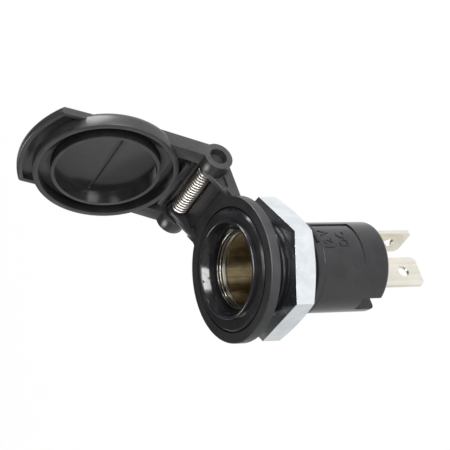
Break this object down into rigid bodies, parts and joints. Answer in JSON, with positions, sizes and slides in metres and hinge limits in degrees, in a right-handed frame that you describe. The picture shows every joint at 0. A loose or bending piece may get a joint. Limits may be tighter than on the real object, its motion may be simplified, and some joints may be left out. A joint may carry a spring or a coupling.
{
  "type": "car 12 V power socket",
  "caption": "Panel-mounted 12 V accessory socket with a threaded barrel, a hex panel nut, blade terminals and a sprung hinged lid.",
  "frame": {"origin": "centre of the panel seat, on the socket's axis", "axes": "+Z out of the socket's mouth, +Y towards the lid's hinge, X along the hinge axis"},
  "size_m": [0.041, 0.0653, 0.1185],
  "materials": {
    "body_plastic": "semi-gloss moulded black",
    "lid_plastic": "satin moulded black",
    "sleeve_metal": "bright nickelled brass",
    "terminal_metal": "satin nickel plate",
    "spring_steel": "bright drawn wire",
    "nut_steel": "bright zinc plate"
  },
  "bodies": {
    "socket": {"socket_body": "body_plastic", "contact_sleeve": "sleeve_metal", "plus_terminal": "terminal_metal", "minus_terminal": "terminal_metal", "centre_contact": "sleeve_metal", "sleeve_rivets": "terminal_metal", "lid_bracket": "lid_plastic", "lid_spring": "spring_steel", "spring_pin": "spring_steel"},
    "lid": {"lid": "lid_plastic"},
    "nut": {"panel_nut": "nut_steel"}
  },
  "joints": [
    {"name": "lid_hinge", "type": "hinge", "parent": "socket", "child": "lid", "pos_m": [0, 0.0272, 0.0053], "axis": [1, 0, 0], "range_deg": [0, 106.5]},
    {"name": "nut_travel", "type": "slide", "parent": "socket", "child": "nut", "axis": [0, 0, 1], "range_m": [-0.058, 0.0069]}
  ]
}
